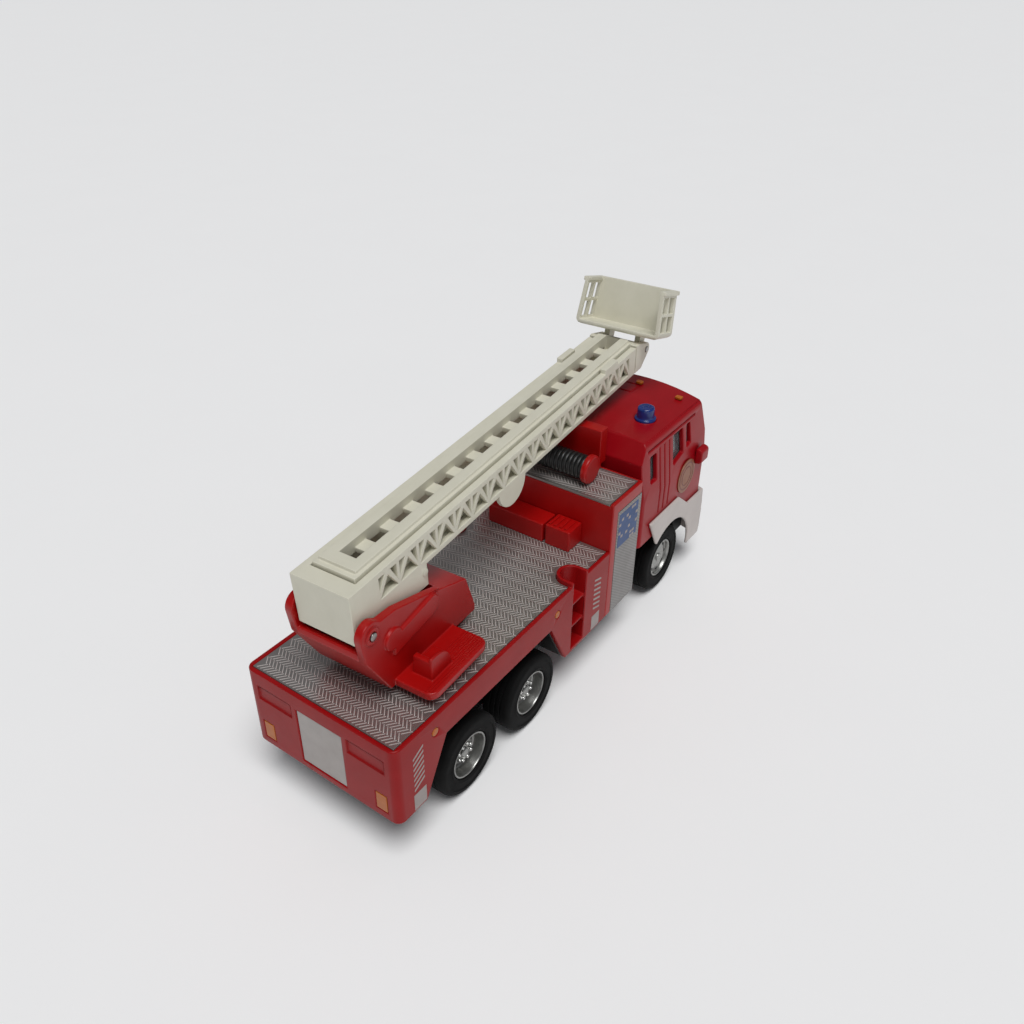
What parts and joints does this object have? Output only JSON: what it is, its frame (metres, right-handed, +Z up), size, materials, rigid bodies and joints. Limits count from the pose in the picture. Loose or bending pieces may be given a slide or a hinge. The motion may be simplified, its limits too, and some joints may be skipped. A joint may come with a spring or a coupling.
{
  "type": "toy fire engine with ladder",
  "caption": "Toy ladder fire engine: cab-forward truck with a swivelling, rising, extending ladder, a tilting rescue bucket and rolling wheels.",
  "frame": {"origin": "middle of the truck's footprint, on the plane the wheels stand on", "axes": "+X towards the front of the truck, +Y to its left, +Z up"},
  "size_m": [0.143, 0.0452, 0.0846],
  "materials": {
    "paint_red": "glossy red enamel",
    "red_plastic": "bright red moulded plastic",
    "ivory_plastic": "ivory moulded plastic",
    "grey_plastic": "off-white moulded plastic",
    "black_plastic": "black moulded plastic",
    "tread_silver": "silver print over plastic",
    "chrome_plastic": "bright plated plastic",
    "clear_glazing": "clear moulding",
    "blue_lens": "dark blue moulded lens",
    "amber_paint": "amber paint",
    "gold_print": "gold print",
    "tyre_rubber": "soft black moulding",
    "steel_pin": "plain steel pin"
  },
  "bodies": {
    "truck": {"chassis": "black_plastic", "front_bumper": "grey_plastic", "cab_shell": "paint_red", "cab_glazing": "clear_glazing", "cab_interior": "black_plastic", "grille": "black_plastic", "headlights": "chrome_plastic", "mirrors": "red_plastic", "door_discs": "gold_print", "beacons": "blue_lens", "roof_markers": "amber_paint", "rear_body": "paint_red", "tread_deck": "tread_silver", "deck_lockers": "red_plastic", "rear_shutter": "tread_silver", "rear_lights": "amber_paint", "side_markers": "amber_paint", "pump_box": "red_plastic", "pump_tread": "tread_silver", "pump_panels": "tread_silver", "hose_reel": "black_plastic", "reel_flanges": "red_plastic", "ladder_rest": "red_plastic"},
    "turntable": {"turntable": "red_plastic", "ladder_pin": "steel_pin"},
    "lower_ladder": {"ladder_lower": "ivory_plastic"},
    "upper_ladder": {"ladder_upper": "ivory_plastic", "bucket_pin": "steel_pin"},
    "rescue_bucket": {"bucket": "ivory_plastic"},
    "front_wheels": {"front_axle": "steel_pin", "front_tyres": "tyre_rubber", "front_rims": "chrome_plastic"},
    "middle_wheels": {"middle_axle": "steel_pin", "middle_tyres": "tyre_rubber", "middle_rims": "chrome_plastic"},
    "rear_wheels": {"rear_axle": "steel_pin", "rear_tyres": "tyre_rubber", "rear_rims": "chrome_plastic"}
  },
  "joints": [
    {"name": "turntable_swivel", "type": "hinge", "parent": "truck", "child": "turntable", "pos_m": [-0.0445, 0, 0.0335], "axis": [0, 0, 1], "continuous": true},
    {"name": "ladder_elevation", "type": "hinge", "parent": "turntable", "child": "lower_ladder", "pos_m": [-0.06507, -0.00115, 0.0533], "axis": [0.0558, -0.9984, 0], "range_deg": [-0.8, 55]},
    {"name": "ladder_extension", "type": "slide", "parent": "lower_ladder", "child": "upper_ladder", "axis": [0.9969, 0.0557, 0.055], "range_m": [0, 0.08]},
    {"name": "bucket_tilt", "type": "hinge", "parent": "upper_ladder", "child": "rescue_bucket", "pos_m": [0.0587, 0.00577, 0.06659], "axis": [-0.0558, 0.9984, 0], "range_deg": [-8, 45]},
    {"name": "front_wheel_spin", "type": "hinge", "parent": "truck", "child": "front_wheels", "pos_m": [0.0457, 0, 0.0101], "axis": [0, 1, 0], "continuous": true},
    {"name": "middle_wheel_spin", "type": "hinge", "parent": "truck", "child": "middle_wheels", "pos_m": [-0.0225, 0, 0.0101], "axis": [0, 1, 0], "continuous": true},
    {"name": "rear_wheel_spin", "type": "hinge", "parent": "truck", "child": "rear_wheels", "pos_m": [-0.0465, 0, 0.0101], "axis": [0, 1, 0], "continuous": true}
  ]
}
